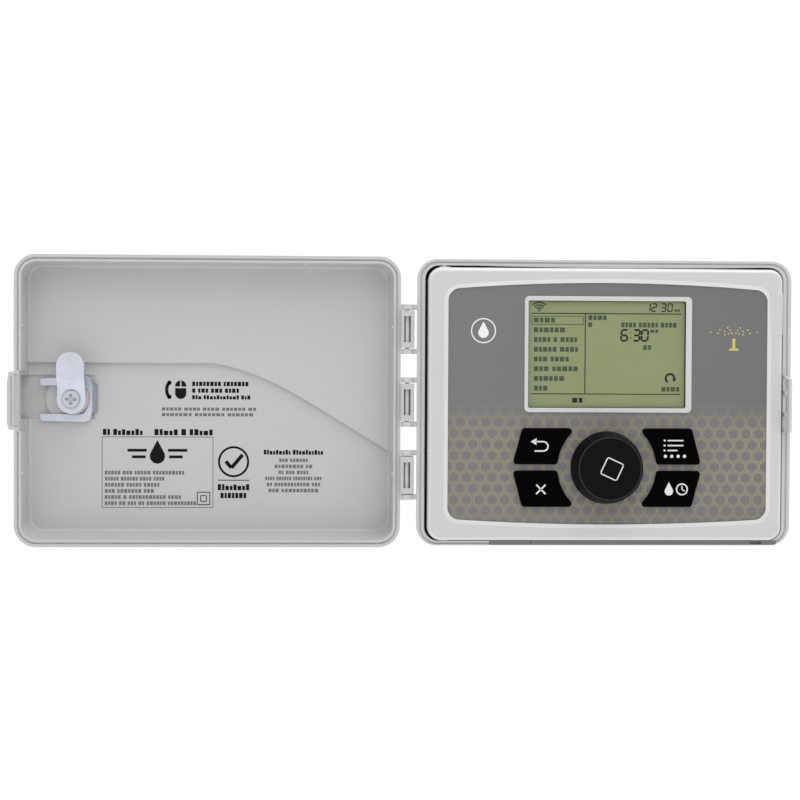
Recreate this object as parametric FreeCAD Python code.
# Wall-mounted irrigation controller: housing, swing-out control panel and lockable door.
#
# Frame: millimetres, +X to the right seen from the front, +Y into the wall, +Z up.
# The origin is the centre of the housing's back face, where it sits on the wall.
# The door is stored open, turned 180 degrees about its hinge, with its inside facing forward.

import FreeCAD, Part

import math
import os

V = FreeCAD.Vector

# ---------------------------------------------------------------- driving dimensions

HOUSING_WIDTH = 260.0
HOUSING_HEIGHT = 197.2
HOUSING_DEPTH = 72.0
HOUSING_CORNER = 14.0
HOUSING_WALL = 2.8
HOUSING_DRAFT = 4.5
RIM_Y = -HOUSING_DEPTH

# the mouth of the housing, inside its rim
MOUTH_X = 124.4
MOUTH_TOP = 94.3
MOUTH_BOTTOM = -95.4
MOUTH_CORNER = 9.5
RIM_LIP_DEPTH = 9.0
GROOVE_DEPTH = 1.2
STRIP_ENDS = (-79.1, 120.9)
STRIP_JOINT = -50.5
STRIP_LOW = -98.1
STRIP_TOP = -95.0
STRIP_DEPTH = 2.3

# the strike fin on the right-hand rim
FIN_X = (124.1, 126.3)
FIN_HEIGHT = 17.4
FIN_HALF = 19.4
FIN_WINDOWS = ((9.1, 17.6), (-6.1, 6.2), (-17.6, -8.9))
CAM_SLOT_Y = (-85.4, -80.3)
CAM_SLOT_Z = (-9.0, 16.9)

# door and its hinge
HINGE_X = -136.6
BARREL_HALF = 4.8
BARREL_CORNER = 2.0
EAR_HALF = 4.2
EAR_CORNER = 3.9
HINGE_CENTRES = (50.2, 0.1, -50.0)
KNUCKLE_HEIGHT = 25.6
KNUCKLE_WINDOW = (2.3, 8.9)
EAR_HEIGHT = 3.6
EAR_GAP = 0.6
PIN_RADIUS = 1.5
RUNNING_GAP = 0.06
DOOR_LEFT = -404.7
DOOR_RIGHT = -141.0
DOOR_HALF_HEIGHT = 100.0
DOOR_CORNER = 15.0
DOOR_RIM_Y = RIM_Y + 0.3
DOOR_RIM_BAND = 4.9
DOOR_OUTER_INSETS = (2.5, 3.0, 4.2, 2.5)
UPPER_INSETS = (0.2, 3.0, 3.6, 1.0)
LOWER_INSETS = (0.2, 1.2, 3.6, 1.0)
UPPER_FLOOR = 25.0
LEDGE_FLOOR = 26.6
LOWER_FLOOR = 28.4
POCKET_FLOOR = 29.2
DOOR_WALL = 2.6
STRIKE_ROOM = 1.2

# swing panel
PANEL_HALF_WIDTH = 122.4
PANEL_TOP = 92.6
PANEL_BOTTOM = -94.4
PANEL_CORNER = 9.0
PANEL_PROUD = 7.5
PANEL_FACE_Y = RIM_Y - PANEL_PROUD
PANEL_SKIRT = 13.5
PANEL_BACK_Y = PANEL_FACE_Y + PANEL_SKIRT
PANEL_WALL = 2.5
PANEL_PLATE = 3.0
PLATE_BACK_Y = PANEL_FACE_Y + PANEL_PLATE
PIVOT_X = -111.0
PIVOT_Y = RIM_Y + 1.8
PIVOT_RADIUS = 1.5
PIVOT_TOP = 95.4
PIVOT_LOW = -96.4

# faceplate and display, which sit a little right of the housing's middle
FACE_X = 1.3
FACE_HALF_WIDTH = 110.0
FACE_TOP = 82.4
FACE_TOP_SAG = 4.8
FACE_BOTTOM = -83.2
FACE_BOTTOM_SAG = 3.6
FACE_CORNER = 8.3
FACE_RECESS = 1.4
FACE_THICK = 0.8
BEVEL_WIDTH = 2.2
LCD_Z = 33.5
BEZEL_WIDTH = 115.5
BEZEL_CORNER = 3.2
BEZEL_HEIGHT = 79.7
WINDOW_X = 0.5
WINDOW_WIDTH = 108.8
WINDOW_HEIGHT = 73.5

# dial and buttons
DIAL_X = 0.5
DIAL_Z = -44.2
DIAL_RADIUS = 25.0
DIAL_FACE_RADIUS = 21.6
DIAL_HEIGHT = 16.0
DIAL_GAP = 1.8
SHAFT_RADIUS = 3.0
BUTTON_PROUD = 2.0
BUTTON_TOP = 26.8
BUTTON_INNER = 2.4
BUTTON_OUTER_TOP = 58.4
BUTTON_OUTER_LOW = 64.8
BUTTON_ARC = 34.4
BUTTON_SHIFT = 0.4
BUTTON_CORNER = 2.0
BUTTON_CLEAR = 0.3
BUTTON_FLANGE = 1.4

# boards behind the panel face
BOARD_Y = -64.0
BOARD_THICK = 1.6
PANEL_BOARD_HALF_WIDTH = 98.0
PANEL_BOARD_HALF_HEIGHT = 78.0
BOARD_BOSS_SPOTS = [(-92.0, 70.0), (92.0, 70.0), (-92.0, -72.0), (92.0, -72.0), (-92.0, 0.0), (92.0, 0.0)]
COVER_BOSS_SPOTS = [(-112.0, 82.0), (112.0, 82.0), (-112.0, -84.0), (112.0, -84.0)]

# lock on the door
LOCK_X = -368.3
LOCK_Z = 0.8
BARREL_RADIUS = 9.4
CAM_HALF_WIDTH = 9.5
CAM_REACH = 23.2
CAM_THICK = 2.2
CAM_HUB_Y = -57.2
CAM_JOGGLE = 5.0
BOSS_X = -372.4
BOSS_RADIUS = 15.4

# wiring bay
SCREW_SPACING_X = 200.0
SCREW_SPACING_Z = 150.0
MOUNT_HOLE_RADIUS = 2.6
CONDUIT_RADIUS = 11.1
CONDUIT_X = 84.0
PLUG_X = 46.0
CONDUIT_Y = -36.0
SEAT_LOW = -97.8
SEAT_TOP = -91.8
WIRE_HOLE_X = -40.0
WIRE_HOLE_RADIUS = 13.0
GROMMET_BORE = 9.0
STATION_BOARD_Y = -12.4
STATIONS = 13
STATION_PITCH = 8.9

# ---------------------------------------------------------------- shape helpers


def save(name, *solids):
    """Write one sub-part as parts/NAME.step."""
    shape = solids[0] if len(solids) == 1 else Part.makeCompound(list(solids))
    shape.exportStep("parts/" + name + ".step")


def box(x0, x1, y0, y1, z0, z1):
    return Part.makeBox(x1 - x0, y1 - y0, z1 - z0, V(x0, y0, z0))


def rod(radius, start, end):
    """A cylinder from one point to another."""
    run = V(*end) - V(*start)
    return Part.makeCylinder(radius, run.Length, V(*start), run)


def join(first, *others):
    """Fuse solids into one and drop the seams between their faces."""
    shape = first
    for other in others:
        shape = shape.fuse(other)
    return shape.removeSplitter()


def cut(shape, *tools):
    for tool in tools:
        shape = shape.cut(tool)
    return shape


def rounded_wire(x0, x1, z0, z1, radius, y):
    """A rectangle with round corners, in a plane of constant Y."""
    k = radius * (1 - math.sqrt(0.5))
    a, b, c, d = x0 + radius, x1 - radius, z0 + radius, z1 - radius
    edges = [
        Part.LineSegment(V(a, y, z0), V(b, y, z0)).toShape(),
        Part.Arc(V(b, y, z0), V(x1 - k, y, z0 + k), V(x1, y, c)).toShape(),
        Part.LineSegment(V(x1, y, c), V(x1, y, d)).toShape(),
        Part.Arc(V(x1, y, d), V(x1 - k, y, z1 - k), V(b, y, z1)).toShape(),
        Part.LineSegment(V(b, y, z1), V(a, y, z1)).toShape(),
        Part.Arc(V(a, y, z1), V(x0 + k, y, z1 - k), V(x0, y, d)).toShape(),
        Part.LineSegment(V(x0, y, d), V(x0, y, c)).toShape(),
        Part.Arc(V(x0, y, c), V(x0 + k, y, z0 + k), V(a, y, z0)).toShape(),
    ]
    return Part.Wire(edges)


def rounded_prism(x0, x1, z0, z1, radius, y0, y1):
    face = Part.Face(rounded_wire(x0, x1, z0, z1, radius, y0))
    return face.extrude(V(0, y1 - y0, 0))


def tapered_prism(x0, x1, z0, z1, radius, y0, y1, insets):
    """A rounded block whose outline shrinks from y0 to y1 by its (left, right, low, top) insets."""
    left, right, low, top = insets
    front = rounded_wire(x0, x1, z0, z1, radius, y0)
    back = rounded_wire(x0 + left, x1 - right, z0 + low, z1 - top, radius, y1)
    return Part.makeLoft([front, back], True, True)


def polygon_prism(points, direction):
    """Extrude a closed outline given by its corner points."""
    corners = [V(*p) for p in points]
    wire = Part.makePolygon(corners + [corners[0]])
    return Part.Face(wire).extrude(V(*direction))


def round_edges(shape, radius, chosen):
    """Fillet the edges for which chosen(edge) is true."""
    return shape.makeFillet(radius, [edge for edge in shape.Edges if chosen(edge)])


def runs_along_y(edge):
    bounds = edge.BoundBox
    return bounds.XLength < 0.01 and bounds.ZLength < 0.01


def runs_along_z(edge):
    bounds = edge.BoundBox
    return bounds.XLength < 0.01 and bounds.YLength < 0.01


def lies_at_y(y):
    """A test for edges that lie in the plane Y = y."""
    def test(edge):
        bounds = edge.BoundBox
        return abs(bounds.YMin - y) < 0.01 and abs(bounds.YMax - y) < 0.01
    return test


def screw(spot, head_y, tip_y, head_radius=2.8, shank_radius=1.25, head_height=1.8):
    """A pan-head screw along Y, with its head's underside at head_y and a cross recess."""
    x, z = spot
    way = 1 if tip_y > head_y else -1
    head = rod(head_radius, (x, head_y - way * head_height, z), (x, head_y, z))
    shank = rod(shank_radius, (x, head_y, z), (x, tip_y, z))
    top = head_y - way * head_height
    low, high = sorted((top, top + way * head_height * 0.6))
    arm, half = head_radius * 0.62, head_radius * 0.14
    cross = [box(x - arm, x + arm, low, high, z - half, z + half),
             box(x - half, x + half, low, high, z - arm, z + arm)]
    return cut(join(head, shank), *cross)


# ---------------------------------------------------------------- hinge pieces


def barrel(z0, z1, attach_x, half, corner):
    """A rounded-square hinge barrel with an arm, behind the parting plane, to the wall at attach_x."""
    block = box(HINGE_X - half, HINGE_X + half, RIM_Y - half, RIM_Y + half, z0, z1)
    block = round_edges(block, corner, runs_along_z)
    low, high = sorted((HINGE_X, attach_x))
    arm = box(low, high, DOOR_RIM_Y + 0.1, RIM_Y + half, z0, z1)
    return block.fuse(arm)


def pin_line(radius, z0, z1):
    return rod(radius, (HINGE_X, RIM_Y, z0), (HINGE_X, RIM_Y, z1))


def ear_spans(centre):
    """The two height ranges of the housing's ears in one hinge set."""
    inner = KNUCKLE_HEIGHT / 2 + EAR_GAP
    return [(centre + inner, centre + inner + EAR_HEIGHT), (centre - inner - EAR_HEIGHT, centre - inner)]


def hinge_pins():
    reach = KNUCKLE_HEIGHT / 2 + EAR_GAP + EAR_HEIGHT - 0.6
    return [pin_line(PIN_RADIUS, c - reach, c + reach) for c in HINGE_CENTRES]


# ---------------------------------------------------------------- housing


def draft_at(y):
    """How far the housing's walls have moved inwards at a depth."""
    return HOUSING_DRAFT * (y - RIM_Y) / HOUSING_DEPTH


def housing_shell():
    half_w, half_h = HOUSING_WIDTH / 2, HOUSING_HEIGHT / 2
    outer = tapered_prism(-half_w, half_w, -half_h, half_h, HOUSING_CORNER, RIM_Y, 0, (HOUSING_DRAFT,) * 4)
    outer = round_edges(outer, 3.0, lies_at_y(0))
    mouth = rounded_prism(-MOUTH_X, MOUTH_X, MOUTH_BOTTOM, MOUTH_TOP, MOUTH_CORNER,
                          RIM_Y - 1, RIM_Y + RIM_LIP_DEPTH)
    room_front = RIM_Y + RIM_LIP_DEPTH
    front_inset = HOUSING_WALL + draft_at(room_front)
    taper = draft_at(-HOUSING_WALL) - draft_at(room_front)
    room_x, room_z = half_w - front_inset, half_h - front_inset
    cavity = tapered_prism(-room_x, room_x, -room_z, room_z, HOUSING_CORNER - HOUSING_WALL,
                           room_front, -HOUSING_WALL, (taper,) * 4)
    return cut(outer, mouth, cavity)


def rim_groove():
    """The channel in the rim that the door's inner ridge drops towards."""
    outer = rounded_prism(-127.8, 127.8, -97.6, 97.0, 12.2, RIM_Y - 1, RIM_Y + GROOVE_DEPTH)
    inner = rounded_prism(-126.5, 126.5, -96.7, 95.7, 11.0, RIM_Y - 1, RIM_Y + GROOVE_DEPTH)
    return outer.cut(inner)


def strip_block(x0, x1, front, back):
    return box(x0, x1, front, back, STRIP_LOW, STRIP_TOP)


def drip_strip():
    """A grey sealing strip in the lower rim, in two lengths, with a drain notch near its right end."""
    front, back = RIM_Y + 0.15, RIM_Y + STRIP_DEPTH
    left, right = STRIP_ENDS
    short = strip_block(left + 0.3, STRIP_JOINT - 0.15, front, back)
    long = strip_block(STRIP_JOINT + 0.15, right - 0.3, front, back)
    notch = box(102.7, 110.4, front - 1, front + 1.4, STRIP_LOW + 0.5, STRIP_TOP - 0.7)
    return [short, long.cut(notch)]


def strike():
    """A fin on the right-hand rim; the door's cam turns into the slot near its front edge."""
    x0, x1 = FIN_X
    root, front = RIM_Y + 7.0, RIM_Y - FIN_HEIGHT
    outline = [(x0, root, -FIN_HALF), (x0, front, -FIN_HALF), (x0, front, FIN_HALF - 2.2),
               (x0, RIM_Y - 4.0, FIN_HALF), (x0, root, FIN_HALF)]
    fin = polygon_prism(outline, (x1 - x0, 0, 0))
    fin = round_edges(fin, 0.8, lies_at_y(front))
    slot = box(x0 - 1, x1 + 1, *CAM_SLOT_Y, *CAM_SLOT_Z)
    windows = [box(x0 - 1, x1 + 1, CAM_SLOT_Y[1] - 0.1, RIM_Y - 2.0, z0, z1) for z0, z1 in FIN_WINDOWS]
    return cut(fin, slot, *windows)


def pad_under(x, radius):
    """A flat round seat on the bottom wall, for a fitting."""
    return rod(radius, (x, CONDUIT_Y, SEAT_LOW), (x, CONDUIT_Y, SEAT_TOP))


def bottom_hole(x, radius):
    return rod(radius, (x, CONDUIT_Y, SEAT_LOW - 2), (x, CONDUIT_Y, SEAT_TOP + 2))


def wall_screw_spots():
    half_x, half_z = SCREW_SPACING_X / 2, SCREW_SPACING_Z / 2
    return [(sx * half_x, sz * half_z) for sx in (-1, 1) for sz in (-1, 1)]


def post(spot, top_y, radius=3.6, hole=1.25):
    """A screw post standing on the back wall, with a blind hole in its end."""
    x, z = spot
    body = rod(radius, (x, -HOUSING_WALL + 0.5, z), (x, top_y, z))
    bore = rod(hole, (x, top_y - 1, z), (x, -HOUSING_WALL, z))
    return body, bore


def rear_housing():
    shape = housing_shell()
    shape = join(shape, pad_under(CONDUIT_X, 17), pad_under(PLUG_X, 17), pad_under(WIRE_HOLE_X, 19))
    ears = [barrel(z0, z1, -129.0, EAR_HALF, EAR_CORNER) for c in HINGE_CENTRES for z0, z1 in ear_spans(c)]
    shape = join(shape, *ears)
    shape = cut(shape, *[pin_line(PIN_RADIUS, c - 20, c + 20) for c in HINGE_CENTRES])
    shape = cut(shape, rim_groove(), strip_block(*STRIP_ENDS, RIM_Y - 1, RIM_Y + STRIP_DEPTH + 0.1))
    shape = cut(shape, bottom_hole(CONDUIT_X, CONDUIT_RADIUS), bottom_hole(PLUG_X, CONDUIT_RADIUS),
                bottom_hole(WIRE_HOLE_X, WIRE_HOLE_RADIUS))
    shape = join(shape, strike())
    sockets = [rod(PIVOT_RADIUS + RUNNING_GAP, (PIVOT_X, PIVOT_Y, MOUTH_TOP - 2),
                   (PIVOT_X, PIVOT_Y, PIVOT_TOP + 0.2)),
               rod(PIVOT_RADIUS + RUNNING_GAP, (PIVOT_X, PIVOT_Y, MOUTH_BOTTOM + 2),
                   (PIVOT_X, PIVOT_Y, PIVOT_LOW - 0.2))]
    shape = cut(shape, *sockets)
    seats = [rod(6.0, (x, -HOUSING_WALL + 0.5, z), (x, -6.0, z)) for x, z in wall_screw_spots()]
    holes = [rod(MOUNT_HOLE_RADIUS, (x, -10, z), (x, 1, z)) for x, z in wall_screw_spots()]
    posts = [post(spot, -10.8) for spot in STATION_BOARD_SPOTS]
    posts += [post(spot, -6.0) for spot in TRANSFORMER_SPOTS + LINE_BLOCK_SPOTS]
    shape = join(shape, *(seats + [p[0] for p in posts]))
    return cut(shape, *(holes + [p[1] for p in posts]))


def conduit_plug():
    """A snap-in blanking plug with a domed cap outside and a ring of catches inside."""
    x, y, under = PLUG_X, CONDUIT_Y, SEAT_LOW - 2.4
    tip = SEAT_TOP + 2.5
    cap = rod(14.0, (x, y, under), (x, y, SEAT_LOW))
    cap = round_edges(cap, 1.5, lambda e: abs(e.BoundBox.ZMax - under) < 0.01)
    sleeve = rod(CONDUIT_RADIUS - 0.1, (x, y, SEAT_LOW), (x, y, tip))
    hollow = rod(8.6, (x, y, SEAT_LOW + 1), (x, y, tip + 1))
    catch = rod(CONDUIT_RADIUS + 0.7, (x, y, SEAT_TOP + 0.2), (x, y, SEAT_TOP + 1.8))
    slots = [box(x - 20, x + 20, y - 1, y + 1, SEAT_TOP - 1, tip + 1),
             box(x - 1, x + 1, y - 20, y + 20, SEAT_TOP - 1, tip + 1)]
    return cut(join(cap, sleeve, catch), hollow, *slots)


def cable_grommet():
    """A rubber grommet that lips over both sides of the wire hole."""
    x, y, under, top = WIRE_HOLE_X, CONDUIT_Y, SEAT_LOW - 2.2, SEAT_TOP + 2.4
    body = rod(WIRE_HOLE_RADIUS, (x, y, under), (x, y, top))
    flange = rod(WIRE_HOLE_RADIUS + 3, (x, y, under), (x, y, SEAT_LOW))
    lip = rod(WIRE_HOLE_RADIUS + 1.6, (x, y, SEAT_TOP), (x, y, top))
    bore = rod(GROMMET_BORE, (x, y, under - 3), (x, y, top + 3))
    ring = join(body, flange, lip).cut(bore)
    return round_edges(ring, 0.8, lambda e: abs(e.BoundBox.ZMax - under) < 0.01)


# ---------------------------------------------------------------- wiring bay

STATION_BOARD = (-93.0, 34.0, -80.0, -30.0)
STATION_BOARD_SPOTS = [(-88.0, -35.0), (29.0, -35.0), (-88.0, -76.0), (29.0, -76.0)]
STATION_ROW_X = -31.0
TRANSFORMER_SPOTS = [(38.0, 25.0), (112.0, 25.0)]
TRANSFORMER_X = 75.0
TRANSFORMER_Z = 25.0
LINE_BLOCK_SPOTS = [(52.0, -52.0), (108.0, -52.0)]
LINE_X = 80.0
LINE_Z = -52.0


def station_board():
    x0, x1, z0, z1 = STATION_BOARD
    board = box(x0, x1, STATION_BOARD_Y, STATION_BOARD_Y + BOARD_THICK, z0, z1)
    return cut(board, *[rod(1.25, (x, -20, z), (x, 0, z)) for x, z in STATION_BOARD_SPOTS])


def station_x(index):
    return STATION_ROW_X + (index - (STATIONS - 1) / 2) * STATION_PITCH


def station_terminals():
    """A row of wire clamps: a screw well from the front and a wire hole from below in each."""
    left = station_x(0) - STATION_PITCH / 2
    right = station_x(STATIONS - 1) + STATION_PITCH / 2
    block = box(left, right, STATION_BOARD_Y - 13.0, STATION_BOARD_Y, -72.0, -56.0)
    chamfer = polygon_prism([(left - 1, STATION_BOARD_Y - 13.1, -67.0),
                             (left - 1, STATION_BOARD_Y - 13.1, -72.1),
                             (left - 1, STATION_BOARD_Y - 8.0, -72.1)], (right - left + 2, 0, 0))
    tools = [chamfer]
    for i in range(STATIONS):
        x = station_x(i)
        tools.append(rod(2.7, (x, STATION_BOARD_Y - 14, -61.0), (x, STATION_BOARD_Y - 5.0, -61.0)))
        tools.append(rod(1.9, (x, STATION_BOARD_Y - 4.0, -73.0), (x, STATION_BOARD_Y - 4.0, -62.0)))
    return cut(block, *tools)


def terminal_screws():
    """Slotted clamp screws at the bottom of each well."""
    solids = []
    for i in range(STATIONS):
        x = station_x(i)
        head = rod(2.5, (x, STATION_BOARD_Y - 9.0, -61.0), (x, STATION_BOARD_Y - 5.0, -61.0))
        slot = box(x - 3, x + 3, STATION_BOARD_Y - 9.1, STATION_BOARD_Y - 7.8, -61.4, -60.6)
        solids.append(head.cut(slot))
    return solids


def station_switches():
    """One small solid-state switch per station, in a row above the terminals."""
    solids = []
    for i in range(STATIONS):
        x = station_x(i)
        can = rod(2.4, (x, STATION_BOARD_Y - 1.5, -50.0), (x, STATION_BOARD_Y - 6.5, -50.0))
        can = can.cut(box(x - 3, x + 3, STATION_BOARD_Y - 7, STATION_BOARD_Y, -52.9, -52.2))
        legs = [rod(0.3, (x + dx, STATION_BOARD_Y, -50.0), (x + dx, STATION_BOARD_Y - 1.5, -50.0))
                for dx in (-1.3, 0, 1.3)]
        solids.append(join(can, *legs))
    return solids


def header(x0, x1, y0, y1, z0, z1):
    """A shrouded ribbon header: an open-topped box with two rows of pins."""
    shell = box(x0, x1, y0, y1, z0, z1)
    hollow = box(x0 + 1.2, x1 - 1.2, y0 - 0.1, y1 - 1.6, z0 + 1.2, z1 - 1.2)
    mid_x, mid_z = (x0 + x1) / 2, (z0 + z1) / 2
    key = box(mid_x - 2, mid_x + 2, y0 - 0.1, y1 - 3.0, z0 - 0.1, z0 + 1.3)
    shape = shell.cut(hollow).cut(key)
    pins = [box(mid_x + (i - 3.5) * 2.54 - 0.3, mid_x + (i - 3.5) * 2.54 + 0.3, y0 + 2.0, y1 - 1.5,
                mid_z + dz - 0.3, mid_z + dz + 0.3) for i in range(8) for dz in (-1.27, 1.27)]
    return join(shape, *pins)


def transformer_core():
    """A laminated core with two windows."""
    x, z = TRANSFORMER_X, TRANSFORMER_Z
    core = box(x - 27, x + 27, -36.0, -16.0, z - 22.5, z + 22.5)
    windows = [box(x + side - 4.5, x + side + 4.5, -37.0, -15.0, z - 13.5, z + 13.5) for side in (-13.5, 13.5)]
    return cut(core, *windows)


def transformer_coil():
    """Primary and secondary windings on one bobbin round the core's middle leg."""
    x, z = TRANSFORMER_X, TRANSFORMER_Z
    block = box(x - 17.5, x + 17.5, -42.5, -9.5, z - 13.0, z + 13.0)
    block = round_edges(block, 3.0, runs_along_z)
    leg = box(x - 9.0, x + 9.0, -36.0, -16.0, z - 14.0, z + 14.0)
    flanges = [box(x - 17.9, x + 17.9, -43.2, -8.8, z0, z0 + 1.2) for z0 in (z - 13.4, z + 12.2)]
    return join(block, *flanges).cut(leg)


def transformer_cover():
    """A vented box over the transformer, with a screw ear on each side."""
    x, z = TRANSFORMER_X, TRANSFORMER_Z
    shell = rounded_prism(x - 31, x + 31, z - 34, z + 34, 4.0, -47.0, -6.0)
    hollow = rounded_prism(x - 29, x + 29, z - 32, z + 32, 2.5, -45.0, -5.0)
    shape = shell.cut(hollow)
    ears = [rounded_prism(x + s * 37 - 8, x + s * 37 + 8, z - 6, z + 6, 5.5, -8.0, -6.0) for s in (-1, 1)]
    shape = join(shape, *ears).cut(hollow)
    vents = [box(x - 18, x + 18, -48, -44, z - 18 + i * 6.0 - 1.2, z - 18 + i * 6.0 + 1.2) for i in range(7)]
    holes = [rod(1.25, (sx, -20, sz), (sx, -2, sz)) for sx, sz in TRANSFORMER_SPOTS]
    return cut(shape, *(vents + holes))


def transformer_frame():
    """The steel strap that goes round the core's sides and over its top."""
    x, z = TRANSFORMER_X, TRANSFORMER_Z
    strap = box(x - 28.0, x + 28.0, -37.0, -2.8, z - 7.0, z + 7.0)
    inner = box(x - 27.0, x + 27.0, -36.0, 0.0, z - 8.0, z + 8.0)
    slot = box(x - 18.2, x + 18.2, -38.0, -35.0, z - 8.0, z + 8.0)
    return strap.cut(inner).cut(slot)


def line_terminals():
    """Mains terminal block: three ways, with a base flange that screws to two posts."""
    block = box(LINE_X - 21, LINE_X + 21, -24.0, -8.0, LINE_Z - 9, LINE_Z + 9)
    base = box(LINE_X - 34, LINE_X + 34, -8.0, -6.0, LINE_Z - 9, LINE_Z + 9)
    tools = [rod(1.25, (x, -20, z), (x, -2, z)) for x, z in LINE_BLOCK_SPOTS]
    for i in (-1, 0, 1):
        x = LINE_X + i * 13.0
        tools.append(rod(4.0, (x, -25, LINE_Z + 1), (x, -14, LINE_Z + 1)))
        tools.append(rod(2.4, (x, -12, LINE_Z - 10), (x, -12, LINE_Z - 2)))
    return cut(join(block, base), *tools)


def line_screws():
    solids = []
    for i in (-1, 0, 1):
        x = LINE_X + i * 13.0
        head = rod(3.7, (x, -18.0, LINE_Z + 1), (x, -14.0, LINE_Z + 1))
        solids.append(head.cut(box(x - 4, x + 4, -18.1, -16.5, LINE_Z + 0.5, LINE_Z + 1.5)))
    return solids


def fuse_holder():
    """Two spring clips on a small base stuck to the back wall."""
    base = box(LINE_X - 18, LINE_X + 18, -6.0, -HOUSING_WALL, -35.0, -23.0)
    clips = []
    for x in (LINE_X - 12.5, LINE_X + 6.5):
        clip = box(x, x + 6.0, -13.4, -6.0, -33.0, -25.0)
        clips.append(clip.cut(rod(2.6, (x - 1, -10.2, -29.0), (x + 7, -10.2, -29.0)))
                     .cut(box(x - 1, x + 7, -14, -10.2, -30.8, -27.2)))
    return join(base, *clips)


def fuse():
    body = rod(2.3, (LINE_X - 9.0, -10.2, -29.0), (LINE_X + 9.0, -10.2, -29.0))
    caps = [rod(2.6, (LINE_X + a, -10.2, -29.0), (LINE_X + a + 6.0, -10.2, -29.0)) for a in (-13.0, 7.0)]
    return join(body, *caps)


# ---------------------------------------------------------------- swing panel


def crowned_outline(grow, y):
    """The faceplate's outline, whose top and bottom edges bow outwards."""
    left, right = FACE_X - FACE_HALF_WIDTH - grow, FACE_X + FACE_HALF_WIDTH + grow
    top, bottom = FACE_TOP + grow, FACE_BOTTOM - grow
    top_end, bottom_end = top - FACE_TOP_SAG, bottom + FACE_BOTTOM_SAG
    radius = FACE_CORNER + grow
    edges = [
        Part.Arc(V(left, y, top_end), V(FACE_X, y, top), V(right, y, top_end)).toShape(),
        Part.LineSegment(V(right, y, top_end), V(right, y, bottom_end)).toShape(),
        Part.Arc(V(right, y, bottom_end), V(FACE_X, y, bottom), V(left, y, bottom_end)).toShape(),
        Part.LineSegment(V(left, y, bottom_end), V(left, y, top_end)).toShape(),
    ]
    slab = Part.Face(Part.Wire(edges)).extrude(V(0, 1, 0))
    slab = round_edges(slab, radius, runs_along_y)
    return [f for f in slab.Faces if abs(f.CenterOfMass.y - y) < 1e-6][0].OuterWire


def crowned_prism(grow, y0, y1):
    return Part.Face(crowned_outline(grow, y0)).extrude(V(0, y1 - y0, 0))


def bevel_cut():
    """The sloping border that leads down to the faceplate."""
    return Part.makeLoft([crowned_outline(BEVEL_WIDTH, PANEL_FACE_Y - 0.01),
                          crowned_outline(0.1, PANEL_FACE_Y + 0.6)], True, True)


def display_opening(width, height, y0, y1, radius=1.0, centre=FACE_X):
    return rounded_prism(centre - width / 2, centre + width / 2, LCD_Z - height / 2, LCD_Z + height / 2,
                         radius, y0, y1)


def button_outline(side, row, grow, y):
    """A keystone button whose inner side is an arc about the dial; side and row are 1 or -1."""
    z_out = BUTTON_TOP + grow
    z_in = BUTTON_INNER - grow
    slope = (BUTTON_OUTER_LOW - BUTTON_OUTER_TOP) / (BUTTON_TOP - BUTTON_INNER)
    x_out_top = BUTTON_OUTER_TOP + grow - slope * grow
    x_out_low = BUTTON_OUTER_LOW + grow + slope * grow
    arc_radius = BUTTON_ARC - grow

    def on_arc(z):
        return math.sqrt(arc_radius ** 2 - z ** 2)

    def place(x, z):
        return V(DIAL_X + BUTTON_SHIFT + side * x, y, DIAL_Z + row * z)

    z_mid = (z_out + z_in) / 2
    top_out, low_out = place(x_out_top, z_out), place(x_out_low, z_in)
    low_in, top_in = place(on_arc(z_in), z_in), place(on_arc(z_out), z_out)
    edges = [
        Part.LineSegment(top_in, top_out).toShape(),
        Part.LineSegment(top_out, low_out).toShape(),
        Part.LineSegment(low_out, low_in).toShape(),
        Part.Arc(low_in, place(on_arc(z_mid), z_mid), top_in).toShape(),
    ]
    return Part.Wire(edges)


def button_prism(side, row, grow, y0, y1, corner):
    prism = Part.Face(button_outline(side, row, grow, y0)).extrude(V(0, y1 - y0, 0))
    return round_edges(prism, corner, runs_along_y)


BUTTONS = {"button_back": (-1, 1), "button_clear": (-1, -1), "button_program": (1, 1), "button_rain": (1, -1)}


def button_holes(y0, y1):
    return [button_prism(side, row, BUTTON_CLEAR, y0, y1, BUTTON_CORNER + BUTTON_CLEAR)
            for side, row in BUTTONS.values()]


def pull_tab():
    """A raised wedge on the panel's right border, where a thumb opens it."""
    low, crest, top = 47.3, 74.6, 76.6
    x0, x1 = FACE_X + FACE_HALF_WIDTH + BEVEL_WIDTH + 0.2, PANEL_HALF_WIDTH - 0.5
    outline = [(x0, PANEL_FACE_Y + 3.4, low), (x0, PANEL_FACE_Y - 0.15, low), (x0, PANEL_FACE_Y - 0.8, crest),
               (x0, PANEL_FACE_Y + 0.1, top), (x0, PANEL_FACE_Y + 3.4, top)]
    return polygon_prism(outline, (x1 - x0, 0, 0))


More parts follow.
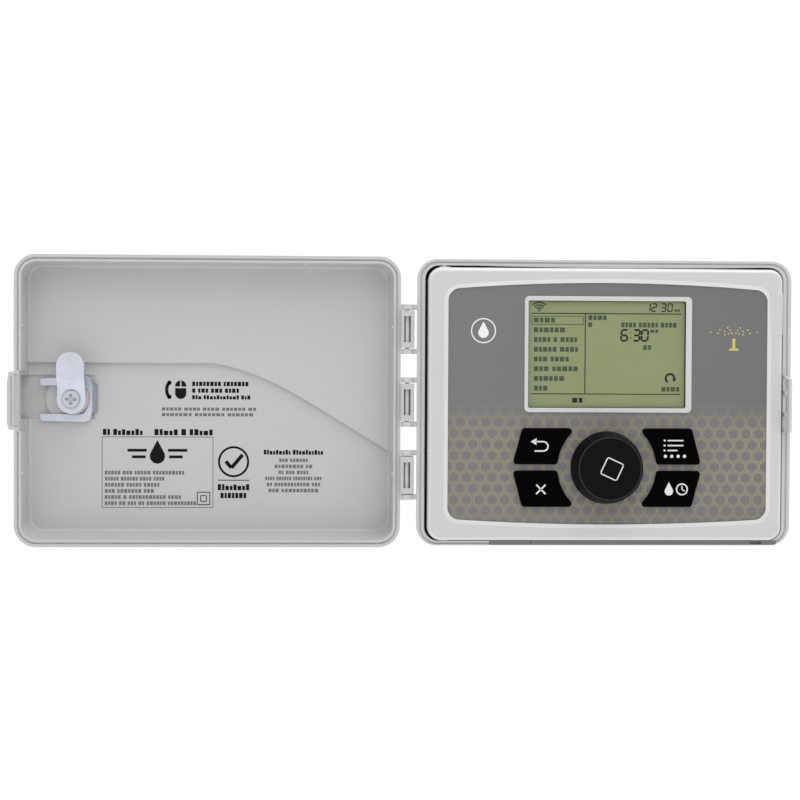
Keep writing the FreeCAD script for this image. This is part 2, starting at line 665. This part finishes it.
def panel_frame():
    body = rounded_prism(-PANEL_HALF_WIDTH, PANEL_HALF_WIDTH, PANEL_BOTTOM, PANEL_TOP, PANEL_CORNER,
                         PANEL_FACE_Y, PANEL_BACK_Y)
    body = round_edges(body, 3.4, lies_at_y(PANEL_FACE_Y))
    hollow = rounded_prism(-PANEL_HALF_WIDTH + PANEL_WALL, PANEL_HALF_WIDTH - PANEL_WALL,
                           PANEL_BOTTOM + PANEL_WALL, PANEL_TOP - PANEL_WALL, PANEL_CORNER - PANEL_WALL,
                           PLATE_BACK_Y, PANEL_BACK_Y + 1)
    body = join(body, pull_tab())
    shape = cut(body, hollow, crowned_prism(0.1, PANEL_FACE_Y - 1, PANEL_FACE_Y + FACE_RECESS), bevel_cut())
    ear_z = ((PANEL_TOP - 2.0, PANEL_TOP + 0.8), (PANEL_BOTTOM - 0.6, PANEL_BOTTOM + 2.0))
    ears = [box(PIVOT_X - 3.5, PIVOT_X + 3.5, PIVOT_Y - 2.6, PIVOT_Y + 2.6, z0, z1) for z0, z1 in ear_z]
    pins = [rod(PIVOT_RADIUS, (PIVOT_X, PIVOT_Y, PANEL_TOP - 2), (PIVOT_X, PIVOT_Y, PIVOT_TOP)),
            rod(PIVOT_RADIUS, (PIVOT_X, PIVOT_Y, PANEL_BOTTOM + 2), (PIVOT_X, PIVOT_Y, PIVOT_LOW))]
    bosses = [rod(3.4, (x, PLATE_BACK_Y - 0.5, z), (x, BOARD_Y, z)) for x, z in BOARD_BOSS_SPOTS]
    bosses += [rod(4.0, (x, PLATE_BACK_Y - 0.5, z), (x, PANEL_BACK_Y, z)) for x, z in COVER_BOSS_SPOTS]
    shape = join(shape, *(ears + pins + bosses))
    bores = [rod(1.25, (x, PLATE_BACK_Y + 3, z), (x, BOARD_Y + 1, z)) for x, z in BOARD_BOSS_SPOTS]
    bores += [rod(1.25, (x, PLATE_BACK_Y + 1, z), (x, PANEL_BACK_Y + 1, z)) for x, z in COVER_BOSS_SPOTS]
    opening = display_opening(BEZEL_WIDTH - 2.3, BEZEL_HEIGHT - 2.3, PANEL_FACE_Y - 1, PLATE_BACK_Y + 1)
    dial_hole = rod(5.5, (DIAL_X, PANEL_FACE_Y - 1, DIAL_Z), (DIAL_X, PLATE_BACK_Y + 1, DIAL_Z))
    return cut(shape, opening, dial_hole, *(button_holes(PANEL_FACE_Y - 1, PLATE_BACK_Y + 1) + bores))


def faceplate():
    """The printed overlay sheet in the panel's recess."""
    front = PANEL_FACE_Y + FACE_RECESS - FACE_THICK
    sheet = crowned_prism(0, front, front + FACE_THICK)
    opening = display_opening(BEZEL_WIDTH - 2.3, BEZEL_HEIGHT - 2.3, front - 1, front + 2)
    dial_hole = rod(5.5, (DIAL_X, front - 1, DIAL_Z), (DIAL_X, front + 2, DIAL_Z))
    return cut(sheet, opening, dial_hole, *button_holes(front - 1, front + 2))


def lcd_bezel():
    front = PANEL_FACE_Y - 0.3
    seat = PANEL_FACE_Y + FACE_RECESS - FACE_THICK
    flange = display_opening(BEZEL_WIDTH, BEZEL_HEIGHT, front, seat, BEZEL_CORNER)
    neck = display_opening(BEZEL_WIDTH - 2.4, BEZEL_HEIGHT - 2.4, seat, PLATE_BACK_Y)
    hole = display_opening(WINDOW_WIDTH, WINDOW_HEIGHT, front - 1, PLATE_BACK_Y + 1, 1.2, WINDOW_X)
    return round_edges(join(flange, neck), 0.5, lies_at_y(front)).cut(hole)


def lcd_window():
    return display_opening(WINDOW_WIDTH, WINDOW_HEIGHT, PANEL_FACE_Y + 0.7, PANEL_FACE_Y + 1.7, 1.2, WINDOW_X)


def lcd_glass():
    """Two bonded panes; the front one is shorter, which leaves a ledge for the contacts."""
    back = display_opening(112.0, 76.0, PLATE_BACK_Y + 1.2, PLATE_BACK_Y + 2.3, 0.5)
    front = box(FACE_X - 56, FACE_X + 56, PLATE_BACK_Y + 0.1, PLATE_BACK_Y + 1.2, LCD_Z - 36.9, LCD_Z + 38.0)
    return join(back, front)


def lcd_backlight():
    """The tray that holds the display panes off the board, with a lamp block at one side."""
    tray = box(FACE_X - 58, FACE_X + 58, PLATE_BACK_Y + 2.3, BOARD_Y, LCD_Z - 38.5, LCD_Z + 38.5)
    hollow = box(FACE_X - 54, FACE_X + 54, PLATE_BACK_Y + 6.0, BOARD_Y + 1, LCD_Z - 35.0, LCD_Z + 35.0)
    lamp = box(FACE_X + 58, FACE_X + 63, PLATE_BACK_Y + 3.3, BOARD_Y, LCD_Z - 10, LCD_Z + 10)
    return join(tray, lamp).cut(hollow)


def main_board():
    board = box(-PANEL_BOARD_HALF_WIDTH, PANEL_BOARD_HALF_WIDTH, BOARD_Y, BOARD_Y + BOARD_THICK,
                -PANEL_BOARD_HALF_HEIGHT, PANEL_BOARD_HALF_HEIGHT)
    return cut(board, *[rod(1.25, (x, BOARD_Y - 1, z), (x, BOARD_Y + 3, z)) for x, z in BOARD_BOSS_SPOTS])


def board_screws():
    back = BOARD_Y + BOARD_THICK
    return [screw(spot, back, PLATE_BACK_Y + 3.5) for spot in BOARD_BOSS_SPOTS]


def main_chip():
    chip = box(-50, -36, BOARD_Y + BOARD_THICK, BOARD_Y + BOARD_THICK + 1.6, 18, 32)
    legs = []
    for i in range(10):
        step = 19.6 + i * 1.2
        legs.append(box(-51.2, -34.8, BOARD_Y + BOARD_THICK, BOARD_Y + BOARD_THICK + 0.5, step, step + 0.5))
    return join(chip, *legs)


def wifi_module():
    """A shielded radio can on its own small board, with the aerial strip left bare."""
    back = BOARD_Y + BOARD_THICK
    carrier = box(42, 60, back, back + 1.0, 36, 62)
    can = rounded_prism(43, 59, 37, 54, 1.0, back + 1.0, back + 3.2)
    return join(carrier, can)


def button_pad():
    """A silicone sheet with a dome under each button, on the front of the board."""
    base = box(FACE_X - 60, FACE_X + 60, BOARD_Y - 1.5, BOARD_Y, DIAL_Z - 26, DIAL_Z + 26)
    hole = rod(14, (DIAL_X, BOARD_Y - 3, DIAL_Z), (DIAL_X, BOARD_Y + 1, DIAL_Z))
    domes = []
    for side, row in BUTTONS.values():
        x, z = DIAL_X + side * 46.0, DIAL_Z + row * 14.5
        domes.append(Part.makeCone(5.0, 3.4, 8.0, V(x, BOARD_Y - 1.5, z), V(0, -1, 0)))
    return join(base.cut(hole), *domes)


def dial_encoder():
    """The rotary encoder's body: a square can with a threaded neck."""
    x, z = DIAL_X, DIAL_Z
    can = box(x - 7, x + 7, BOARD_Y - 6.5, BOARD_Y, z - 7, z + 7)
    neck = rod(4.4, (x, BOARD_Y - 6.5, z), (x, PLATE_BACK_Y - 1.0, z))
    bore = rod(SHAFT_RADIUS + RUNNING_GAP, (x, PLATE_BACK_Y - 2, z), (x, BOARD_Y - 1.0, z))
    return join(can, neck).cut(bore)


def panel_header():
    """The same ribbon header on the back of the main board, facing the wall."""
    back = BOARD_Y + BOARD_THICK
    return header(-43, -15, back - 8.6, back, -48, -39).mirror(V(0, back, 0), V(0, 1, 0))


def battery_holder():
    back = BOARD_Y + BOARD_THICK
    cup = rod(13.0, (-70, back, 48), (-70, back + 5.2, 48))
    hollow = rod(10.2, (-70, back + 1.2, 48), (-70, back + 6.0, 48))
    notch = box(-74, -66, back + 1.2, back + 6, 36, 48)
    return cup.cut(hollow).cut(notch)


def coin_cell():
    back = BOARD_Y + BOARD_THICK
    cell = rod(10.0, (-70, back + 1.2, 48), (-70, back + 4.4, 48))
    return round_edges(cell, 0.5, lies_at_y(back + 4.4))


def panel_back():
    """The tray that closes the back of the panel."""
    flange = rounded_prism(-PANEL_HALF_WIDTH + 1, PANEL_HALF_WIDTH - 1, PANEL_BOTTOM + 1, PANEL_TOP - 1,
                           PANEL_CORNER - 1, PANEL_BACK_Y, PANEL_BACK_Y + 2)
    tray = rounded_prism(-106, 106, -84, 82, 6, PANEL_BACK_Y, PANEL_BACK_Y + 15.5)
    tray = round_edges(tray, 2.5, lies_at_y(PANEL_BACK_Y + 15.5))
    hollow = rounded_prism(-104, 104, -82, 80, 4, PANEL_BACK_Y - 1, PANEL_BACK_Y + 13.5)
    shape = join(flange, tray).cut(hollow)
    holes = [rod(1.25, (x, PANEL_BACK_Y - 1, z), (x, PANEL_BACK_Y + 4, z)) for x, z in COVER_BOSS_SPOTS]
    slot = box(-46, -12, PANEL_BACK_Y + 12, PANEL_BACK_Y + 17, -50, -38)
    vents = [box(20 + i * 7, 23 + i * 7, PANEL_BACK_Y + 12, PANEL_BACK_Y + 17, -20, 30) for i in range(8)]
    return cut(shape, *(holes + [slot] + vents))


def back_screws():
    return [screw(spot, PANEL_BACK_Y + 2, PLATE_BACK_Y + 1.5) for spot in COVER_BOSS_SPOTS]


# ---------------------------------------------------------------- dial and buttons


def press_plunger():
    """The pusher in the encoder that the shaft's end bears on; it slides but doesn't turn."""
    return rod(1.6, (DIAL_X, BOARD_Y - 3.9, DIAL_Z), (DIAL_X, BOARD_Y - 2.7, DIAL_Z))


def encoder_shaft():
    """A round shaft with a flat on its outer end, where the knob grips."""
    x, z = DIAL_X, DIAL_Z
    tip = PANEL_FACE_Y - DIAL_HEIGHT + 3.5
    shaft = rod(SHAFT_RADIUS, (x, tip, z), (x, BOARD_Y - 4.0, z))
    return shaft.cut(box(x - 4, x + 4, tip - 1, tip + 9, z + 1.5, z + 4))


def dial_knob():
    """A hollow tapered knob with a recess for its cap and a hub that takes the shaft."""
    x, z = DIAL_X, DIAL_Z
    back, face = PANEL_FACE_Y - DIAL_GAP + 0.8, PANEL_FACE_Y - DIAL_HEIGHT
    skirt = Part.makeCone(DIAL_RADIUS, DIAL_FACE_RADIUS + 0.9, back - face, V(x, back, z), V(0, -1, 0))
    skirt = round_edges(skirt, 1.0, lies_at_y(face))
    hollow = Part.makeCone(DIAL_RADIUS - 2.2, DIAL_FACE_RADIUS - 1.6, back - face - 2.4,
                           V(x, back, z), V(0, -1, 0))
    hub = rod(5.6, (x, face + 1.5, z), (x, back - 2.0, z))
    shape = join(skirt.cut(hollow), hub)
    recess = rod(17.0, (x, face - 1, z), (x, face + 0.8, z))
    return cut(shape, recess, encoder_shaft())


def dial_cap():
    """The disc set into the knob's face."""
    face = PANEL_FACE_Y - DIAL_HEIGHT
    return rod(17.0, (DIAL_X, face + 0.1, DIAL_Z), (DIAL_X, face + 0.8, DIAL_Z))


def button(side, row):
    """A key cap with a flange behind the panel's plate."""
    front = PANEL_FACE_Y - BUTTON_PROUD
    cap = button_prism(side, row, 0, front, PLATE_BACK_Y + 0.4, BUTTON_CORNER)
    cap = round_edges(cap, 0.9, lies_at_y(front))
    flange = button_prism(side, row, BUTTON_FLANGE, PLATE_BACK_Y + 0.3, PLATE_BACK_Y + 1.3, BUTTON_CORNER)
    clear = rod(9.0, (DIAL_X, PLATE_BACK_Y - 5, DIAL_Z), (DIAL_X, PLATE_BACK_Y + 3, DIAL_Z))
    return join(cap, flange).cut(clear)


# ---------------------------------------------------------------- door

# the line that parts the door's raised upper area from its deeper lower area, from the free edge
STEP_LINE = [(-416.0, 26.4), (-271.0, 26.4), (-233.1, 14.7), (-195.9, -5.6), (-147.1, -35.7), (-130.0, -46.4)]


def lower_region(shift, y0, y1):
    """Everything below the step line, which is straight, then curves down towards the hinge."""
    points = [V(x, y0, z + shift) for x, z in STEP_LINE]
    curve = Part.BSplineCurve()
    curve.interpolate(points[1:])
    edges = [
        Part.LineSegment(points[0], points[1]).toShape(),
        curve.toShape(),
        Part.LineSegment(points[-1], V(points[-1].x, y0, -120)).toShape(),
        Part.LineSegment(V(points[-1].x, y0, -120), V(points[0].x, y0, -120)).toShape(),
        Part.LineSegment(V(points[0].x, y0, -120), points[0]).toShape(),
    ]
    return Part.Face(Part.Wire(edges)).extrude(V(0, y1 - y0, 0))


def door_block(depth, insets, rim_inset, corner):
    """A tapered block with the door's outline, from the rim back to a given depth."""
    return tapered_prism(DOOR_LEFT + rim_inset, DOOR_RIGHT - rim_inset,
                         -DOOR_HALF_HEIGHT + rim_inset, DOOR_HALF_HEIGHT - rim_inset,
                         corner, DOOR_RIM_Y, DOOR_RIM_Y + depth, insets)


def pull_bump():
    """The bulge on the free edge: a finger pull outside, and room for the strike inside."""
    root, shoulder, left = DOOR_LEFT + 8.0, DOOR_LEFT - 3.6, DOOR_LEFT - 4.8
    outline = [(root, -20.4), (shoulder, -19.7), (left, -15.2), (left, 11.4), (shoulder, 19.7), (root, 20.4)]
    points = [(x, DOOR_RIM_Y, z) for x, z in outline]
    bump = polygon_prism(points, (0, POCKET_FLOOR + DOOR_WALL, 0))
    return round_edges(bump, 0.8, lambda e: lies_at_y(DOOR_RIM_Y)(e) and e.BoundBox.XMax < root - 1)


def door_outside():
    shape = door_block(UPPER_FLOOR + DOOR_WALL, DOOR_OUTER_INSETS, 0, DOOR_CORNER)
    shape = round_edges(shape, 6.0, lies_at_y(DOOR_RIM_Y + UPPER_FLOOR + DOOR_WALL))
    low = door_block(LOWER_FLOOR + DOOR_WALL, DOOR_OUTER_INSETS, 0, DOOR_CORNER)
    low = round_edges(low, 6.0, lies_at_y(DOOR_RIM_Y + LOWER_FLOOR + DOOR_WALL))
    low = low.common(lower_region(DOOR_WALL, DOOR_RIM_Y - 1, DOOR_RIM_Y + 40))
    return join(shape, low, pull_bump())


def door_inside():
    band = DOOR_RIM_BAND
    upper = door_block(UPPER_FLOOR, UPPER_INSETS, band, DOOR_CORNER - band)
    upper = round_edges(upper, 2.0, lies_at_y(DOOR_RIM_Y + UPPER_FLOOR))
    lower = door_block(LOWER_FLOOR, LOWER_INSETS, band, DOOR_CORNER - band)
    lower = round_edges(lower, 2.0, lies_at_y(DOOR_RIM_Y + LOWER_FLOOR))
    lower = lower.common(lower_region(0, DOOR_RIM_Y - 1, DOOR_RIM_Y + 40))
    return upper.fuse(lower)


def lock_pocket():
    """The recess round the lock, the ledge above it, and room by the free edge for the strike."""
    inner = DOOR_LEFT + DOOR_RIM_BAND
    pocket = box(DOOR_LEFT + 0.6, -354.0, DOOR_RIM_Y + 5.2, DOOR_RIM_Y + POCKET_FLOOR, -13.2, 17.5)
    ledge = box(inner, -362.0, DOOR_RIM_Y + 2, DOOR_RIM_Y + LEDGE_FLOOR, 17.0, 26.4)
    strike_room = box(inner - STRIKE_ROOM, inner + 9.0, DOOR_RIM_Y - 1, DOOR_RIM_Y + 18.5, -20.6, 20.6)
    return pocket.fuse(ledge).fuse(strike_room)


def door_ring(outer_inset, inner_inset, depth):
    """A shallow channel that follows the door's outline."""
    def block(inset):
        return rounded_prism(DOOR_LEFT + inset, DOOR_RIGHT - inset, -DOOR_HALF_HEIGHT + inset,
                             DOOR_HALF_HEIGHT - inset, DOOR_CORNER - inset, DOOR_RIM_Y - 1, DOOR_RIM_Y + depth)
    return block(outer_inset).cut(block(inner_inset))


def door_groove():
    """The channel round the door's rim, which steps outwards past the strike's room."""
    front = DOOR_RIM_Y - 1
    ring = door_ring(2.1, 3.3, GROOVE_DEPTH)
    ring = ring.cut(box(DOOR_LEFT - 1, DOOR_LEFT + 6, front - 1, front + 5, -20.9, 20.9))
    outer = box(DOOR_LEFT - 2.2, DOOR_LEFT - 1.2, front, front + 1.8, -17.0, 17.0)
    shelf = box(DOOR_LEFT + 0.2, DOOR_LEFT + 3.2, front, front + 2.0, -18.0, 18.4)
    return ring.fuse(outer).fuse(shelf)


def rim_nubs():
    """Small stop pads on the door's inner ridge; the lower ones stay clear of the shut panel."""
    y0, y1 = DOOR_RIM_Y + 0.6, DOOR_RIM_Y + 6
    left, right = DOOR_LEFT + DOOR_RIM_BAND, DOOR_RIGHT - DOOR_RIM_BAND
    top, low = DOOR_HALF_HEIGHT - DOOR_RIM_BAND, -DOOR_HALF_HEIGHT + DOOR_RIM_BAND
    nubs = [box(x - 1.0, x + 1.0, y0, y1, z - 1.2, z + 1.2) for x in (left, right) for z in (51.6, -49.5)]
    for x in (-339.9, -206.8):
        nubs.append(box(x - 1.2, x + 1.2, y0, y1, top - 1.0, top + 1.0))
        nubs.append(box(x - 1.2, x + 1.2, y0, y1, low - 1.0, low + 0.35))
    return nubs


def knuckle(centre):
    """A door knuckle with a window in front that shows the pin."""
    z0, z1 = centre - KNUCKLE_HEIGHT / 2, centre + KNUCKLE_HEIGHT / 2
    block = barrel(z0, z1, DOOR_RIGHT - 1.0, BARREL_HALF, BARREL_CORNER)
    half_x, half_z = KNUCKLE_WINDOW
    window = box(HINGE_X - half_x, HINGE_X + half_x, RIM_Y - BARREL_HALF - 1, RIM_Y + PIN_RADIUS + 0.4,
                 centre - half_z, centre + half_z)
    return block.cut(window)


def door_shell():
    shape = cut(door_outside(), door_inside(), lock_pocket(), door_groove())
    shape = join(shape, *(rim_nubs() + [knuckle(c) for c in HINGE_CENTRES]))
    shape = cut(shape, *[pin_line(PIN_RADIUS + RUNNING_GAP, c - 20, c + 20) for c in HINGE_CENTRES])
    boss_y = DOOR_RIM_Y + POCKET_FLOOR
    boss = rod(BOSS_RADIUS, (BOSS_X, boss_y - 2.6, LOCK_Z), (BOSS_X, boss_y + 0.5, LOCK_Z))
    hole = rod(BARREL_RADIUS, (LOCK_X, boss_y - 8, LOCK_Z), (LOCK_X, boss_y + 8, LOCK_Z))
    return join(shape, boss).cut(hole)


# ---------------------------------------------------------------- lock

DOOR_FACE_Y = DOOR_RIM_Y + POCKET_FLOOR + DOOR_WALL - 0.8
BOSS_FACE_Y = DOOR_RIM_Y + POCKET_FLOOR - 2.6
CLIP_FRONT_Y = BOSS_FACE_Y - 1.6
PLUG_RADIUS = 6.5
COLLAR_RADIUS = 10.8


def lock_barrel():
    """The lock's sleeve: a flange outside, a body through the door and a collar over the clip."""
    x, z = LOCK_X, LOCK_Z
    top = CAM_HUB_Y + CAM_THICK + 0.4
    body = rod(BARREL_RADIUS, (x, top, z), (x, DOOR_FACE_Y, z))
    collar = rod(COLLAR_RADIUS, (x, CLIP_FRONT_Y - 1.6, z), (x, CLIP_FRONT_Y - 0.05, z))
    flange = rod(12.5, (x, DOOR_FACE_Y, z), (x, DOOR_FACE_Y + 2.2, z))
    flange = round_edges(flange, 1.0, lies_at_y(DOOR_FACE_Y + 2.2))
    bore = rod(PLUG_RADIUS + RUNNING_GAP, (x, top - 5, z), (x, DOOR_FACE_Y + 5, z))
    return cut(join(body, collar, flange), bore)


def lock_clip():
    """A flat steel fork pushed across the barrel under its collar, with a bent tab at its closed end."""
    outline = [(-391.4, -13.3), (-390.2, -14.5), (-360.6, -15.3), (-357.0, -13.8), (-355.9, -10.6),
               (-355.9, 12.3), (-357.2, 15.8), (-360.8, 17.3), (-391.4, 14.8)]
    thick = BOSS_FACE_Y - CLIP_FRONT_Y
    plate = polygon_prism([(x, CLIP_FRONT_Y, z) for x, z in outline], (0, thick, 0))
    plate = round_edges(plate, 1.2, lambda e: runs_along_y(e) and e.BoundBox.XMax > -365)
    slot = box(-395.0, LOCK_X, CLIP_FRONT_Y - 1, BOSS_FACE_Y + 1, -9.6, 10.2)
    bend = rod(14.5, (BOSS_X, CLIP_FRONT_Y - 1, 0.3), (BOSS_X, BOSS_FACE_Y + 1, 0.3))
    bend = bend.common(box(-400, -340, CLIP_FRONT_Y - 2, BOSS_FACE_Y + 2, -9.6, 10.2))
    outline = [(-356.6, CLIP_FRONT_Y), (-355.6, CLIP_FRONT_Y), (-352.1, BOSS_FACE_Y + 0.6),
               (-353.2, BOSS_FACE_Y + 1.4), (-356.6, BOSS_FACE_Y)]
    tab = polygon_prism([(x, y, -8.6) for x, y in outline], (0, 0, 19.9))
    return cut(join(plate, tab), slot, bend)


def lock_plug():
    """The turning core: a slotted key face outside and a square end that carries the cam."""
    x, z = LOCK_X, LOCK_Z
    core = rod(PLUG_RADIUS, (x, CAM_HUB_Y + CAM_THICK, z), (x, DOOR_FACE_Y + 1.8, z))
    end = box(x - 3.5, x + 3.5, CAM_HUB_Y, CAM_HUB_Y + CAM_THICK, z - 3.5, z + 3.5)
    keyway = box(x - 0.8, x + 0.8, DOOR_FACE_Y - 8, DOOR_FACE_Y + 3, z - 4.0, z + 4.0)
    bore = rod(1.6, (x, CAM_HUB_Y - 1, z), (x, CAM_HUB_Y + 10, z))
    return cut(join(core, end), keyway, bore)


def cam_plate(y0, z0, z1):
    """One flat of the cam, with both ends of the span left square."""
    return box(LOCK_X - CAM_HALF_WIDTH, LOCK_X + CAM_HALF_WIDTH, y0, y0 + CAM_THICK, z0, z1)


def lock_cam():
    """The tongue: a round hub, a joggle towards the housing and a round tip."""
    x, z = LOCK_X, LOCK_Z
    hub_y, tip_y = CAM_HUB_Y, CAM_HUB_Y - CAM_JOGGLE
    bend0, bend1 = z + 7.0, z + 15.5
    tip_z = z + CAM_REACH
    hub = join(rod(CAM_HALF_WIDTH + 0.5, (x, hub_y, z), (x, hub_y + CAM_THICK, z)), cam_plate(hub_y, z, bend0))
    tip = join(rod(CAM_HALF_WIDTH, (x, tip_y, tip_z), (x, tip_y + CAM_THICK, tip_z)),
               cam_plate(tip_y, bend1, tip_z))
    left = x - CAM_HALF_WIDTH
    slope = polygon_prism([(left, hub_y, bend0), (left, hub_y + CAM_THICK, bend0),
                           (left, tip_y + CAM_THICK, bend1),
                           (left, tip_y, bend1)], (2 * CAM_HALF_WIDTH, 0, 0))
    square = box(x - 3.5, x + 3.5, hub_y - 1, hub_y + CAM_THICK + 1, z - 3.5, z + 3.5)
    return join(hub, slope, tip).cut(square)


def cam_screw():
    """The large-headed screw that holds the cam on the plug."""
    return screw((LOCK_X, LOCK_Z), CAM_HUB_Y, CAM_HUB_Y + 8.0, 5.9, 1.6, 1.6)


# ---------------------------------------------------------------- write every sub-part


def main():
    os.makedirs("parts", exist_ok=True)
    save("rear_housing", rear_housing())
    save("hinge_pins", *hinge_pins())
    save("conduit_plug", conduit_plug())
    save("cable_grommet", cable_grommet())
    save("drip_strip", *drip_strip())
    save("station_board", station_board())
    save("station_board_screws", *[screw(s, STATION_BOARD_Y, -6.0) for s in STATION_BOARD_SPOTS])
    save("station_terminals", station_terminals())
    save("terminal_screws", *terminal_screws())
    save("station_switches", *station_switches())
    save("ribbon_header", header(-46, -18, STATION_BOARD_Y - 8.6, STATION_BOARD_Y, -43, -34))
    save("transformer_core", transformer_core())
    save("transformer_coil", transformer_coil())
    save("transformer_frame", transformer_frame())
    save("transformer_cover", transformer_cover())
    save("transformer_screws", *[screw(s, -8.0, -4.0) for s in TRANSFORMER_SPOTS])
    save("line_terminals", line_terminals())
    save("line_screws", *line_screws())
    save("line_block_screws", *[screw(s, -8.0, -4.0) for s in LINE_BLOCK_SPOTS])
    save("fuse_holder", fuse_holder())
    save("fuse", fuse())

    save("panel_frame", panel_frame())
    save("faceplate", faceplate())
    save("lcd_bezel", lcd_bezel())
    save("lcd_window", lcd_window())
    save("lcd_glass", lcd_glass())
    save("lcd_backlight", lcd_backlight())
    save("main_board", main_board())
    save("main_board_screws", *board_screws())
    save("main_chip", main_chip())
    save("wifi_module", wifi_module())
    save("panel_header", panel_header())
    save("button_pad", button_pad())
    save("dial_encoder", dial_encoder())
    save("battery_holder", battery_holder())
    save("coin_cell", coin_cell())
    save("panel_back", panel_back())
    save("panel_back_screws", *back_screws())

    save("press_plunger", press_plunger())
    save("encoder_shaft", encoder_shaft())
    save("dial_knob", dial_knob())
    save("dial_cap", dial_cap())
    for name, (side, row) in BUTTONS.items():
        save(name, button(side, row))

    save("door_shell", door_shell())
    save("lock_barrel", lock_barrel())
    save("lock_clip", lock_clip())
    save("lock_plug", lock_plug())
    save("lock_cam", lock_cam())
    save("cam_screw", cam_screw())


main()
